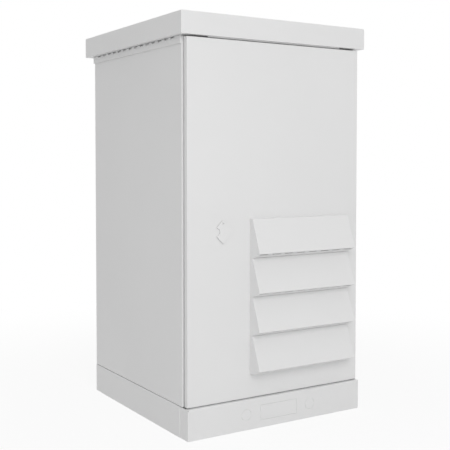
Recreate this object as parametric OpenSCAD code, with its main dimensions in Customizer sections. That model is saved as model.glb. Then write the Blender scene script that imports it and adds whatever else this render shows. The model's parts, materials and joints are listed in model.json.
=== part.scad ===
// Roadside utility cabinet: plinth, ventilated body with rack rails, hinged door and roof cap.
// Millimetres, +Z up, door towards -Y, origin at the middle of the plinth on the ground.

/* [Body] */
// Width over the side panels
body_w = 700; // [660:1:900]
// Depth from the front flanges to the rear panel
body_d = 680; // [620:1:900]
// Height of the side panels
body_h = 1174; // [1100:1:1600]
// Thickness of the painted sheet
sheet_t = 2; // [1.5:0.5:2.5]
// Outer radius of the folds
fold_r = 3; // [2.5:0.5:4]
// Width of the front and rear flanges of the side panels
flange_w = 28; // [22:1:34]
// Play between sheets that lie edge to edge
seam = 0.5; // [0.3:0.1:1]

/* [Frame] */
// Width of the corner posts
post_w = 38; // [34:1:44]
// Depth of the corner posts
post_d = 40; // [30:1:60]
// Wall of the corner posts
post_t = 2; // [1.5:0.5:3]
// Height of the sill and of the lintel of the door frame
sill_h = 28; // [22:1:40]
// Depth of the rim that stands up around the door opening
rim_d = 14; // [10:1:15]
// Thickness of the floor plate
floor_t = 2; // [2:0.5:4]
// Gap between the skirt of the floor plate and the plinth corners
floor_gap = 1; // [0.5:0.5:3]
// Height of the skirt under the floor plate
skirt_h = 12; // [6:1:20]
// Drop of the ceiling plate below the top of the side panels
ceiling_drop = 6; // [4:1:12]
// Height of the band around the top of the body
band_h = 24; // [16:1:40]
// Thickness of the band around the top of the body
band_t = 4; // [2:0.5:6]

/* [Plinth] */
// Height of the plinth
plinth_h = 100; // [90:1:200]
// Distance of the front of the plinth from the front of the body
plinth_front_proud = 36; // [34:1:60]
// Distance of the rear of the plinth from the rear of the body
plinth_rear_proud = 2; // [0:1:20]
// Drop of the covers below the top of the plinth
cover_drop = 0; // [0:0.5:5]
// Length of the end covers' returns on the sides
cover_return = 50; // [40:1:60]
// Distance of the side covers outside the returns
cover_proud = 1.5; // [0.5:0.5:3]
// Gap between the side covers and the returns
cover_seam = 1; // [1:0.5:4]
// Radius of the relief where the folds of a cover meet
relief_r = 1.3; // [1:0.1:2]
// Diameter of the round knock-outs
knockout_d = 38; // [20:1:60]
// Distance of the round knock-outs from the middle
knockout_x = 130; // [110:1:200]
// Width of the middle knock-out
slot_knockout_w = 150; // [80:1:160]
// Height of the middle knock-out
slot_knockout_h = 50; // [30:1:60]
// Width of the cut line around a knock-out
knockout_line = 0.6; // [0.5:0.1:1.2]
// Width of the bridges that hold a knock-out
knockout_tab = 6; // [3:1:10]

/* [Plinth corners] */
// Side of the square foot plates
foot_w = 106; // [100:1:130]
// Thickness of the foot and top plates
foot_t = 5; // [4:1:8]
// Distance of the corners from the covers
corner_gap = 18; // [18:1:24]
// Side of the square tube
tube_w = 50; // [46:1:60]
// Wall of the square tube
tube_t = 3; // [2:0.5:4]
// Diameter of the anchor holes
anchor_d = 14; // [10:1:18]
// Distance of the anchor holes from the inner edges of the foot plates
anchor_inset = 16; // [14:1:20]
// Diameter of the bolts between plinth and body
body_bolt_d = 12; // [10:1:12]
// Distance of these bolts from the corner posts
body_bolt_inset = 14; // [13:1:16]
// Set-back of these bolts from the middle of the tube
body_bolt_back = 6; // [5:1:8]
// Side of the square top plates
top_plate_w = 70; // [66:1:80]
// Width of the clips that hold the covers
clip_w = 24; // [16:1:24]
// Gap between the clips and the end flanges of the side covers
clip_gap = 3.5; // [1:0.5:6]
// Height of the clips that hold the covers
clip_h = 20; // [10:1:30]
// Radial play of bolts and screws in their holes
hole_play = 0.5; // [0.2:0.1:1]

/* [Door] */
// Depth of the door pan
door_d = 18; // [16:1:24]
// Gap between the door pan and the body
door_gap = 8; // [7:1:10]
// Set-back of the door from the sides of the body
door_inset = 4; // [3:1:5]
// Width of the inner lip of the door pan
door_lip = 15; // [12:1:18]
// Gap between the plinth and the door
door_bottom_gap = 3; // [2:0.5:6]
// Distance of the top of the door below the top of the body
door_top_gap = 4; // [3:1:8]
// Width of the door seal
gasket_w = 14; // [10:1:16]
// Gap between the seal and the rim
gasket_gap = 0.5; // [0.3:0.1:1]
// Width of the door stiffeners
stiffener_w = 30; // [20:1:36]
// Depth of the door stiffeners
stiffener_d = 15; // [10:1:18]
// Gap between the ends of the stiffeners and the seal
stiffener_end = 8; // [4:1:20]
// Gap between the filter frame and the stiffeners above it
stiffener_foot = 30; // [10:1:60]

/* [Louvre] */
// Distance of the louvre from the left edge of the door
louvre_left = 235; // [220:1:330]
// Number of hoods
louvre_n = 4; // [4:1:4]
// Height of a hood
louvre_pitch = 128; // [100:1:130]
// Gap between the filter frame and the seal on the right
filter_side = 5; // [2:1:40]
// Distance of the louvre from the bottom of the door
louvre_bottom = 79; // [70:0.5:120]
// Depth of the top of a hood
hood_top_d = 17; // [10:1:25]
// Depth of a hood at its lip
hood_lip_d = 59; // [45:1:70]
// Height of the lip above the bottom of the hood
hood_lip_rise = 17; // [12:1:30]
// Sheet thickness of the hoods
hood_t = 1.5; // [1:0.5:2]
// Number of air slots under each hood
hood_slots = 8; // [4:1:10]
// Bridge between two air slots
hood_slot_bridge = 16; // [12:1:24]
// Distance of the air slots from the door
hood_slot_back = 42; // [30:1:46]
// Length of the air slots towards the lip
hood_slot_l = 9; // [5:1:10]
// Margin of the air opening in the door inside the louvre
louvre_margin = 12; // [8:1:20]

/* [Filter] */
// Overlap of the filter frame beyond the louvre
filter_margin = 10; // [8:1:10]
// Wall of the filter frame
filter_wall = 8; // [6:1:10]
// Thickness of the filter mat
filter_t = 12; // [8:1:12]
// Thickness of the grid behind the filter mat
grid_t = 2; // [2:0.5:3]
// Width of the border around the grid
grid_border = 26; // [24:1:32]
// Width of the grid bars
grid_bar = 10; // [6:1:16]
// Number of grid windows across
grid_nx = 4; // [4:1:6]
// Number of grid windows in height
grid_nz = 5; // [5:1:8]
// Radius of the filter knobs
knob_r = 8; // [6:1:9]
// Height of the filter knobs
knob_h = 10; // [6:1:12]

/* [Lock] */
// Offset of the lock from the middle between the seal and the filter frame
lock_shift = 3.5; // [0:0.5:10]
// Height of the lock above the bottom of the door
lock_height = 553; // [500:0.5:620]
// Side of the square lock cover
cover_w = 54; // [48:1:58]
// Corner radius of the lock cover
cover_r = 5; // [3:1:8]
// Thickness of the lock cover
cover_t = 3; // [2.5:0.5:6]
// Thickness of the base under the lock cover
base_t = 2; // [2:0.5:5]
// Overlap of the lock cover beyond its base
base_lap = 2; // [1:0.5:3]
// Gap between the base and the lock cover
cover_gap = 0.6; // [0.5:0.1:1]
// Radius of the finger notch
notch_r = 14; // [12:1:15]
// Distance of the centre of the finger notch from the lock
notch_x = 26; // [25:1:28]
// Distance of the cover pivot above the lock
pivot_rise = 28; // [24:1:29]
// Diameter of the cover pivot
pivot_d = 5; // [4:0.5:6]
// Radial running clearance of pivots and pins
run_play = 0.06; // [0.04:0.01:0.1]
// Radius of the triangular key recess
key_r = 5.5; // [4:0.5:5.5]
// Depth of the key recess
key_depth = 10; // [6:1:14]
// Diameter of the lock barrel
barrel_d = 14; // [13:1:16]
// Radial clearance of the lock barrel in the door
barrel_play = 0.3; // [0.2:0.1:0.5]

/* [Rods] */
// Tooth module of the rod drive
gear_m = 2; // [2:0.5:2]
// Number of teeth of the pinion
gear_n = 13; // [13:2:13]
// Pressure angle of the teeth
gear_angle = 25; // [25:1:25]
// Tooth height above the pitch line
gear_add = 1.8; // [1.6:0.1:1.8]
// Tooth depth below the pitch line
gear_ded = 2.2; // [2.2:0.1:2.4]
// Play between the teeth
gear_play = 0.4; // [0.3:0.1:0.5]
// Width of the rods
rod_w = 8; // [6:1:9]
// Thickness of the rods
rod_t = 6; // [4:1:8]
// Distance of the rods behind the door frame
rod_back = 6; // [5:1:12]
// Distance of the rod ends from the rim when unlocked
rod_clear = 8; // [6:1:10]
// Play of the rods in their guides
rod_play = 0.4; // [0.3:0.1:0.8]
// Distance of the outer rod guides from the rod ends
guide_inset = 60; // [50:1:100]
// Distance of the inner rod guides from the lock case
guide_gap = 60; // [30:1:100]
// Wall of the rod guides
guide_wall = 5; // [3:1:8]
// Height of a rod guide
guide_h = 16; // [10:1:24]
// Half width of the lock case
case_x = 34; // [32:1:37]
// Half height of the lock case
case_z = 42; // [42:1:50]

/* [Hinges] */
// Number of hinges
hinge_n = 3; // [2:1:4]
// Height of a hinge
hinge_h = 70; // [50:1:90]
// Distance of the outer hinges from the ends of the door
hinge_inset = 150; // [100:1:200]
// Excess of the knuckle radius over half the door gap
knuckle_out = 0.5; // [0.3:0.1:0.6]
// Diameter of the hinge pins
pin_d = 5; // [4:0.5:5]
// Distance of the hinge axis outside the body
axis_out = 1; // [0.5:0.5:2]
// Thickness of the hinge leaves
leaf_t = 2; // [1.5:0.5:2.5]
// Width of the hinge leaves on the body
leaf_w = 24; // [16:1:27]
// Height of the gap between the two knuckles of a hinge
knuckle_gap = 0.5; // [0.3:0.1:1]

/* [Roof] */
// Height of the roof cap
roof_h = 72; // [60:1:100]
// Overhang of the roof at the sides of the body
roof_side = 20; // [18:1:40]
// Overhang of the roof in front of the door
roof_front = 7; // [5:1:30]
// Overhang of the roof behind the body
roof_rear = 40; // [25:1:60]
// Gap between the body and the roof
roof_gap = 2; // [1:0.5:6]
// Gap between the band and the roof
band_gap = 1; // [0.5:0.5:2]
// Overlap of the soffit over the body
soffit_lap = 15; // [5:1:30]
// Length of the air notches in the band
vent_l = 26; // [16:1:36]
// Depth of the air notches in the band
vent_d = 6; // [3:0.5:8]
// Spacing of the air notches in the band
vent_pitch = 44; // [40:1:70]
// Distance of the front drip strip from the outside of the roof
strip_back = 12; // [10:1:18]
// Distance of the ends of the front drip strip from the sides of the roof
strip_end = 102; // [60:1:140]
// Gap between the door and the front drip strip
strip_gap = 2.5; // [1:0.5:3]
// Distance of the roof spacers from the middle
spacer_x = 230; // [150:1:260]
// Outer diameter of the roof spacers
spacer_d = 24; // [20:1:30]
// Diameter of the roof bolts
roof_bolt_d = 10; // [8:1:12]
// Height of the weld nuts in the roof
weld_nut_h = 12; // [8:1:16]

/* [Fan] */
// Side of the square fan housing
fan_w = 120; // [110:1:126]
// Height of the fan housing
fan_h = 38; // [34:1:44]
// Wall of the fan housing
fan_wall = 3; // [3:0.5:5]
// Gap between the blade tips and the housing
tip_gap = 3; // [2:0.5:5]
// Radius of the fan hub
hub_r = 25; // [20:1:30]
// Number of fan blades
blade_n = 7; // [5:1:9]
// Thickness of the fan blades
blade_t = 2; // [1.5:0.5:2.5]
// Slope of the fan blades
blade_tilt = 40; // [30:1:50]
// Diameter of the fan shaft
shaft_d = 8; // [6:1:10]
// Thickness of the motor plate and its arms
arm_t = 4; // [3:0.5:6]
// Width of the motor arms
arm_w = 8; // [6:1:12]
// Gap between the fan hub and the motor plate
hub_gap = 2; // [1:0.5:4]
// Distance of the top of the hub below the top of the housing
hub_sink = 3; // [2:0.5:5]
// Thickness of the fan guard
guard_t = 3; // [2:0.5:4]
// Width of the outer ring of the fan guard
guard_rim = 8; // [6:1:12]
// Overlap of the fan guard beyond the duct
guard_lap = 5; // [3:1:5]
// Spacing of the inner rings of the fan guard
guard_step = 16; // [12:1:18]
// Width of the wires of the fan guard
guard_wire = 3; // [2:0.5:4]

/* [Rack] */
// Width of the rail brackets
bracket_w = 61; // [50:1:70]
// Distance of the hole columns from the inner edges of the rails
rack_hole_in = 7.55; // [7.5:0.05:7.6]
// Least gap between the rack rails and the ceiling plate
rail_top_gap = 30; // [20:1:60]
// Side of the square rack holes
rack_hole = 9.5; // [9:0.1:9.5]
// Width of the rack rails
rail_w = 24; // [24:1:28]
// Depth of the rack rails
rail_d = 35; // [25:1:45]
// Sheet thickness of the rack rails
rail_t = 2; // [1.5:0.5:3]
// Height of the rack rails above the floor plate
rail_rise = 38; // [30:1:60]
// Distance of the front rack rails from the front of the body
rail_front = 73; // [50:1:120]
// Distance of the rear rack rails from the rear of the body
rail_rear = 107; // [100:1:160]
// Length of the rails beyond the first and last unit
rail_end = 8; // [4:1:12]
// Height of the rail brackets
bracket_h = 30; // [20:1:40]
// Distance of the rail brackets from the ends of the rails
bracket_inset = 20; // [10:1:60]

/* [Cable entry] */
// Room around the glands in the floor opening
gland_room = 36; // [26:1:40]
// Overlap of the gland plate beyond the floor opening
gland_lap = 20; // [10:1:30]
// Thickness of the gland plate
gland_plate_t = 3; // [2:0.5:4]
// Distance of the gland plate behind the middle
gland_y = 120; // [60:1:150]
// Diameter of the gland threads
gland_d = 32; // [25:1:32]
// Spacing of the glands
gland_pitch = 62; // [58:1:66]
// Length of the earth bar
earth_l = 300; // [200:1:400]
// Width of the earth bar
earth_w = 25; // [20:1:40]
// Thickness of the earth bar
earth_t = 5; // [4:1:8]
// Height of the earth bar above the floor plate
earth_rise = 30; // [20:1:40]
// Number of holes in the earth bar
earth_n = 6; // [4:1:8]
// Diameter of the holes in the earth bar
earth_hole_d = 9; // [6:1:10]
// Length of the bar at each end without holes
earth_margin = 30; // [20:1:40]
// Length of the feet of the earth bar
earth_foot = 25; // [15:1:40]
// Distance of the earth bar from the rear of the body
earth_back = 70; // [60:1:75]

/* [Hidden] */
$fn = 64;
paint = "#dcdddd";
zinc = "#a7abae";
rubber = "#232527";
plastic = "#33363a";
copper = "#b5774d";
mat = "#e6e4dc";
wide = 1;

half_w = body_w / 2;
plinth_x = half_w;
plinth_d = body_d + plinth_front_proud + plinth_rear_proud;
plinth_y = plinth_d / 2;
front_y = -plinth_y + plinth_front_proud;
rear_y = plinth_y - plinth_rear_proud;
mid_y = (front_y + rear_y) / 2;
base_z = plinth_h + floor_t;
top_z = base_z + body_h;
ceiling_z = top_z - ceiling_drop;
ceiling_top = ceiling_z + sheet_t;
panel_x = half_w - flange_w - seam;

opening_x = half_w - sheet_t - post_w;
opening_z0 = base_z + sill_h;
opening_z1 = top_z - sill_h;
rim_y = front_y - rim_d;
rim_x = opening_x + sheet_t;

cover_h = plinth_h - cover_drop;
side_cover_x = plinth_x + cover_proud;
side_cover_y = plinth_y - cover_return - cover_seam;
corner_x = plinth_x - sheet_t - corner_gap;
corner_y = plinth_y - sheet_t - corner_gap;
anchor_x = corner_x - foot_w + anchor_inset;
anchor_y = corner_y - foot_w + anchor_inset;
floor_x = corner_x + floor_gap + floor_t;
floor_y = corner_y + floor_gap + floor_t;
cover_end = side_cover_x - floor_x - seam;
cover_flange = plinth_y - floor_y - seam;
body_bolt_x = opening_x - body_bolt_inset;
body_bolt_y = corner_y - tube_w / 2 - body_bolt_back;

door_back = front_y - door_gap;
door_y = door_back - door_d;
door_in = door_y + sheet_t;
door_x = half_w - door_inset;
door_z0 = plinth_h + door_bottom_gap;
door_z1 = top_z - door_top_gap;

seal_x = opening_x + (sheet_t - gasket_w) / 2;
louvre_x1 = seal_x - filter_side - filter_margin;
louvre_x0 = -door_x + louvre_left;
louvre_w = louvre_x1 - louvre_x0;
louvre_z0 = door_z0 + louvre_bottom;
louvre_z1 = louvre_z0 + louvre_n * louvre_pitch;
filter_x0 = louvre_x0 - filter_margin;
filter_x1 = louvre_x1 + filter_margin;
filter_z0 = louvre_z0 - filter_margin;
filter_z1 = louvre_z1 + filter_margin;
grid_y = door_in + filter_t;
stiffener_z0 = filter_z1 + stiffener_foot;
stiffener_z1 = opening_z1 - gasket_w - stiffener_end;
stiffener_x = (louvre_x0 + louvre_x1) / 2;

lock_x = (filter_x0 - seal_x) / 2 - lock_shift;
lock_z = door_z0 + lock_height;
base_y = door_y - base_t;
cover_back = base_y - cover_gap;
cover_front = cover_back - cover_t;
gear_r = gear_m * gear_n / 2;
gear_base = gear_r * cos(gear_angle);
gear_root = gear_r - gear_ded;
gear_top = gear_r + gear_add;
gear_p = PI * gear_m;
root_sink = 0.5;
rod_y0 = front_y + sheet_t + rod_back;
rod_y1 = rod_y0 + rod_t;
rod_in = gear_r + gear_ded;
rod_mid = rod_in + rod_w / 2;
rod_tail = 34;
rod_top = opening_z1 - rod_clear;
rod_bottom = opening_z0 + rod_clear;
case_back = rod_y1 + 2 * sheet_t;

hinge_x = half_w + axis_out;
hinge_y = front_y - door_gap / 2;
knuckle_r = door_gap / 2 + knuckle_out;
hinge_step = (door_z1 - door_z0 - 2 * hinge_inset) / (hinge_n - 1);
hinge_z = [for (i = [0 : hinge_n - 1]) door_z0 + hinge_inset + i * hinge_step];

roof_x = half_w + roof_side;
roof_y0 = door_y - roof_front;
roof_y1 = rear_y + roof_rear;
roof_z0 = top_z + roof_gap;
roof_z1 = roof_z0 + roof_h;
band_z1 = roof_z0 - band_gap;
soffit_x = half_w - soffit_lap;
side_vent_n = floor((rear_y - front_y) / vent_pitch) - 1;
rear_vent_n = floor(2 * half_w / vent_pitch) - 1;

fan_r = fan_w / 2 - fan_wall;
blade_r = fan_r - tip_gap;
fan_z0 = ceiling_top;
hub_z0 = fan_z0 + arm_t + hub_gap;
hub_z1 = fan_z0 + fan_h - hub_sink;

rack_x = opening_x - bracket_w - rail_w;
rack_hole_x = rack_x + rack_hole_in;
unit = 44.45;
unit_holes = [6.35, 22.225, 38.1];
rail_z0 = base_z + rail_rise;
rack_u = floor((ceiling_z - rail_top_gap - rail_z0 - 2 * rail_end) / unit);
rail_z1 = rail_z0 + rack_u * unit + 2 * rail_end;
gland_z1 = base_z + gland_plate_t;
gland_opening = gland_pitch + gland_d + gland_room;
gland_plate_w = gland_opening + 2 * gland_lap;
earth_y = rear_y - earth_back;
screw_r = 2.5;
screw_head_h = 3;
screw_l = 10;
screw_inset = 60;
rear_screw_x = (panel_x + opening_x) / 2;
rear_screw_z = [for (i = [0 : 3]) base_z + screw_inset + i * (body_h - 2 * screw_inset) / 3];

hub_cap = 2;
hex_r = 0.88;
hex_h = 0.65;
thread_end = 5;
gland_nut_h = 7;
gland_tail = 3;
gland_hex_r = 0.68;
gland_hex_h = 8;
gland_cap_h = 9;
gland_dome_h = 5;
gland_cap_r = 0.58;
gland_dome_r = 0.4;
rivet_gap = 0.5;
rivet_head_t = 1.5;
rivet_lap = 1.5;
rivet_bore = 1.6;
collar_r = 6;
collar_l = 1;
journal_r = 4;
pin_end = 4;
knob_neck = 3;
flank_n = 6;

// Block between two opposite corners
module block(a, b) {
  translate([min(a[0], b[0]), min(a[1], b[1]), min(a[2], b[2])])
    cube([abs(b[0] - a[0]), abs(b[1] - a[1]), abs(b[2] - a[2])]);
}

// Cylinder along Y
module rod_y(x, z, y0, y1, r) {
  translate([x, y1, z]) rotate([90, 0, 0]) cylinder(r = r, h = y1 - y0);
}

// Outline in Y and Z drawn along X
module along_x(x0, x1) {
  translate([x0, 0, 0]) rotate([90, 0, 90]) linear_extrude(x1 - x0) children();
}

// Outline in X and Z drawn along Y
module along_y(y0, y1) {
  translate([0, y1, 0]) rotate([90, 0, 0]) linear_extrude(y1 - y0) children();
}

// Waste outside a fold along X; sy and sz point into the sheet
module fold_x(x0, x1, y, z, sy, sz) {
  difference() {
    block([x0, y - sy, z - sz], [x1, y + sy * fold_r, z + sz * fold_r]);
    translate([x0 - wide, y + sy * fold_r, z + sz * fold_r])
      rotate([0, 90, 0]) cylinder(r = fold_r, h = x1 - x0 + 2 * wide);
  }
}

// Waste outside a fold along Y; sx and sz point into the sheet
module fold_y(y0, y1, x, z, sx, sz) {
  difference() {
    block([x - sx, y0, z - sz], [x + sx * fold_r, y1, z + sz * fold_r]);
    translate([x + sx * fold_r, y1 + wide, z + sz * fold_r])
      rotate([90, 0, 0]) cylinder(r = fold_r, h = y1 - y0 + 2 * wide);
  }
}

// Waste outside a fold along Z; sx and sy point into the sheet
module fold_z(z0, z1, x, y, sx, sy) {
  difference() {
    block([x - sx, y - sy, z0], [x + sx * fold_r, y + sy * fold_r, z1]);
    translate([x + sx * fold_r, y + sy * fold_r, z0 - wide])
      cylinder(r = fold_r, h = z1 - z0 + 2 * wide);
  }
}

// Cut line around a round knock-out, with two bridges
module round_knockout(x) {
  difference() {
    rod_y(x, plinth_h / 2, -plinth_y - wide, -plinth_y + sheet_t + wide, knockout_d / 2);
    rod_y(x, plinth_h / 2, -plinth_y - 2 * wide, -plinth_y + sheet_t + 2 * wide,
      knockout_d / 2 - knockout_line);
    block([x - knockout_d, -plinth_y - 2 * wide, plinth_h / 2 - knockout_tab / 2],
      [x + knockout_d, -plinth_y + sheet_t + 2 * wide, plinth_h / 2 + knockout_tab / 2]);
  }
}

// Cut line around the middle knock-out, with bridges at both ends
module slot_knockout() {
  w = slot_knockout_w / 2;
  h = slot_knockout_h / 2;
  z = plinth_h / 2;
  difference() {
    block([-w, -plinth_y - wide, z - h], [w, -plinth_y + sheet_t + wide, z + h]);
    block([-w + knockout_line, -plinth_y - 2 * wide, z - h + knockout_line],
      [w - knockout_line, -plinth_y + sheet_t + 2 * wide, z + h - knockout_line]);
    block([-w - wide, -plinth_y - 2 * wide, z - knockout_tab / 2],
      [w + wide, -plinth_y + sheet_t + 2 * wide, z + knockout_tab / 2]);
  }
}

// Folded plinth cover across the front, with returns around the corners
module plinth_end_cover() {
  x_in = plinth_x - sheet_t;
  y0 = -plinth_y;
  y1 = y0 + cover_return;
  difference() {
    block([-plinth_x, y0, 0], [plinth_x, y1, cover_h]);
    block([-x_in, y0 + sheet_t, -wide], [x_in, y1 + wide, cover_h - sheet_t]);
    block([-x_in, y0 + cover_flange, 0], [x_in, y1 + wide, cover_h + wide]);
    fold_x(-plinth_x - wide, plinth_x + wide, y0, cover_h, 1, -1);
    for (s = [-1, 1]) {
      fold_z(-wide, cover_h + wide, s * plinth_x, y0, -s, 1);
      rod_y(s * x_in, cover_h - 1.5 * sheet_t, y0 - wide, y0 + 2 * sheet_t, relief_r);
    }
  }
}

module plinth_front_cover() {
  color(paint) difference() {
    plinth_end_cover();
    round_knockout(-knockout_x);
    round_knockout(knockout_x);
    slot_knockout();
  }
}

module plinth_rear_cover() {
  color(paint) mirror([0, 1, 0]) plinth_end_cover();
}

// Plinth cover between the returns of the end covers
module plinth_side_cover(s) {
  x0 = s * side_cover_x;
  x1 = s * (side_cover_x - cover_end);
  y = side_cover_y;
  color(paint) difference() {
    block([x0, -y, 0], [x1, y, cover_h]);
    block([x0 - s * sheet_t, -y + sheet_t, -wide], [x1 - s, y - sheet_t, cover_h - sheet_t]);
    fold_y(-y - wide, y + wide, x0, cover_h, -s, -1);
    fold_z(-wide, cover_h + wide, x0, -y, -s, 1);
    fold_z(-wide, cover_h + wide, x0, y, -s, -1);
  }
}

module plinth_left_cover() {
  plinth_side_cover(-1);
}

module plinth_right_cover() {
  plinth_side_cover(1);
}

// Load-bearing plinth corner: foot plate, square tube and top plate
module plinth_corner(sx, sy) {
  x0 = corner_x - tube_w;
  y0 = corner_y - tube_w;
  x1 = corner_x - top_plate_w;
  y1 = corner_y - top_plate_w;
  x2 = corner_x - foot_w;
  y2 = corner_y - foot_w;
  color(zinc) difference() {
    union() {
      block([sx * x2, sy * y2, 0], [sx * corner_x, sy * corner_y, foot_t]);
      block([sx * x0, sy * y0, 0], [sx * corner_x, sy * corner_y, plinth_h]);
      block([sx * x1, sy * y1, plinth_h - foot_t], [sx * corner_x, sy * corner_y, plinth_h]);
    }
    block([sx * (x0 + tube_t), sy * (y0 + tube_t), foot_t],
      [sx * (corner_x - tube_t), sy * (corner_y - tube_t), plinth_h - foot_t]);
    translate([sx * anchor_x, sy * anchor_y, -wide]) cylinder(d = anchor_d, h = foot_t + 2 * wide);
    translate([sx * body_bolt_x, sy * body_bolt_y, plinth_h - foot_t - wide])
      cylinder(d = body_bolt_d + 2 * hole_play, h = foot_t + 2 * wide);
  }
}

module plinth_corner_front_left() {
  plinth_corner(-1, -1);
}

module plinth_corner_front_right() {
  plinth_corner(1, -1);
}

module plinth_corner_rear_left() {
  plinth_corner(-1, 1);
}

module plinth_corner_rear_right() {
  plinth_corner(1, 1);
}

// Clips that carry the covers on the plinth corners
module plinth_cover_clips() {
  x = corner_x - tube_w / 2;
  y = side_cover_y - sheet_t - clip_gap;
  w = clip_w / 2;
  z0 = (cover_h - clip_h) / 2;
  z1 = z0 + clip_h;
  color(plastic) for (sx = [-1, 1]) for (sy = [-1, 1]) {
    block([sx * (x - w), sy * corner_y, z0], [sx * (x + w), sy * (plinth_y - sheet_t), z1]);
    block([sx * corner_x, sy * (y - w), z0], [sx * (side_cover_x - sheet_t), sy * y, z1]);
  }
}

// Hexagon of a bolt or nut that starts at height z
module hexagon(d, z) {
  translate([0, 0, z]) cylinder(r = hex_r * d, h = hex_h * d, $fn = 6);
}

// Bolts with their nuts between the plinth corners and the floor plate
module plinth_bolts() {
  d = body_bolt_d;
  nut_z = plinth_h - foot_t - hex_h * d;
  color(zinc) for (sx = [-1, 1]) for (sy = [-1, 1])
    translate([sx * body_bolt_x, sy * body_bolt_y, 0]) {
      hexagon(d, nut_z);
      hexagon(d, base_z);
      translate([0, 0, nut_z - thread_end]) cylinder(d = d, h = base_z - nut_z + thread_end);
    }
}

// Floor pan with a skirt that closes the shadow gap above the plinth covers
module floor_plate() {
  o = gland_opening / 2;
  t = floor_t;
  color(zinc) difference() {
    block([-floor_x, -floor_y, plinth_h - skirt_h], [floor_x, floor_y, base_z]);
    block([-floor_x + t, -floor_y + t, plinth_h - skirt_h - wide],
      [floor_x - t, floor_y - t, plinth_h]);
    block([-o, gland_y - o, plinth_h - wide], [o, gland_y + o, base_z + wide]);
    for (sx = [-1, 1]) for (sy = [-1, 1])
      translate([sx * body_bolt_x, sy * body_bolt_y, plinth_h - wide])
        cylinder(d = body_bolt_d + 2 * hole_play, h = floor_t + 2 * wide);
  }
}

module gland_plate() {
  w = gland_plate_w / 2;
  color(zinc) difference() {
    block([-w, gland_y - w, base_z], [w, gland_y + w, gland_z1]);
    for (sx = [-1, 1]) for (sy = [-1, 1])
      translate([sx * gland_pitch / 2, gland_y + sy * gland_pitch / 2, base_z - wide])
        cylinder(d = gland_d + 2 * hole_play, h = gland_plate_t + 2 * wide);
  }
}

// Blanked cable glands: lock nut, thread, hexagon and cap
module cable_glands() {
  hex = gland_hex_r * gland_d;
  tail_z = base_z - gland_nut_h - gland_tail;
  cap_z = gland_z1 + gland_hex_h;
  color(plastic) for (sx = [-1, 1]) for (sy = [-1, 1])
    translate([sx * gland_pitch / 2, gland_y + sy * gland_pitch / 2, 0]) {
      translate([0, 0, base_z - gland_nut_h]) cylinder(r = hex, h = gland_nut_h, $fn = 6);
      translate([0, 0, tail_z]) cylinder(d = gland_d, h = gland_z1 - tail_z);
      translate([0, 0, gland_z1]) cylinder(r = hex, h = gland_hex_h, $fn = 6);
      translate([0, 0, cap_z]) cylinder(r = gland_cap_r * gland_d, h = gland_cap_h);
      translate([0, 0, cap_z + gland_cap_h])
        cylinder(r1 = gland_cap_r * gland_d, r2 = gland_dome_r * gland_d, h = gland_dome_h);
    }
}

// Square tube in a corner of the body; s is the side, r is -1 in front and 1 at the rear
module corner_post(s, r) {
  y0 = r < 0 ? front_y + sheet_t : rear_y - sheet_t - post_d;
  color(zinc) difference() {
    block([s * (half_w - sheet_t), y0, base_z], [s * opening_x, y0 + post_d, ceiling_z]);
    block([s * (half_w - sheet_t - post_t), y0 + post_t, base_z - wide],
      [s * (opening_x + post_t), y0 + post_d - post_t, ceiling_z + wide]);
    if (r > 0)
      for (z = rear_screw_z)
        rod_y(s * rear_screw_x, z, rear_y - screw_l - wide, rear_y + wide, screw_r + hole_play);
  }
}

module corner_post_front_left() {
  corner_post(-1, -1);
}

module corner_post_front_right() {
  corner_post(1, -1);
}

module corner_post_rear_left() {
  corner_post(-1, 1);
}

module corner_post_rear_right() {
  corner_post(1, 1);
}

// Side panel folded around the front and rear posts
module side_panel(s) {
  color(paint) difference() {
    block([s * half_w, front_y, base_z], [s * (half_w - flange_w), rear_y, top_z]);
    block([s * (half_w - sheet_t), front_y + sheet_t, base_z - wide],
      [s * (half_w - flange_w - wide), rear_y - sheet_t, top_z + wide]);
    fold_z(base_z - wide, top_z + wide, s * half_w, front_y, -s, 1);
    fold_z(base_z - wide, top_z + wide, s * half_w, rear_y, -s, -1);
  }
}

module left_side_panel() {
  side_panel(-1);
}

module right_side_panel() {
  side_panel(1);
}

module rear_panel() {
  color(paint) difference() {
    block([-panel_x, rear_y - sheet_t, base_z], [panel_x, rear_y, top_z]);
    for (s = [-1, 1]) for (z = rear_screw_z)
      rod_y(s * rear_screw_x, z, rear_y - sheet_t - wide, rear_y + wide, screw_r + hole_play);
  }
}

module rear_panel_screws() {
  color(zinc) for (s = [-1, 1]) for (z = rear_screw_z) {
    rod_y(s * rear_screw_x, z, rear_y, rear_y + screw_head_h, 2 * screw_r);
    rod_y(s * rear_screw_x, z, rear_y - screw_l, rear_y, screw_r);
  }
}

// Door frame: flat ring with a rim standing up into the door
module front_frame() {
  color(paint) difference() {
    union() {
      block([-panel_x, front_y, base_z], [panel_x, front_y + sheet_t, top_z]);
      block([-rim_x, rim_y, opening_z0 - sheet_t], [rim_x, front_y + sheet_t, opening_z1 + sheet_t]);
    }
    block([-opening_x, rim_y - wide, opening_z0], [opening_x, front_y + sheet_t + wide, opening_z1]);
  }
}

// Rain band around the two sides and the rear, with air notches under the roof
module top_band() {
  x = half_w + band_t;
  y = rear_y + band_t;
  z0 = band_z1 - band_h;
  color(paint) difference() {
    block([-x, front_y + sheet_t, z0], [x, y, band_z1]);
    block([-half_w, front_y, z0 - wide], [half_w, rear_y, band_z1 + wide]);
    for (s = [-1, 1]) {
      fold_z(z0 - wide, band_z1 + wide, s * x, y, -s, -1);
      fold_z(z0 - wide, band_z1 + wide, s * x, front_y + sheet_t, -s, 1);
    }
    side_vents();
    rear_vents();
  }
}

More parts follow.
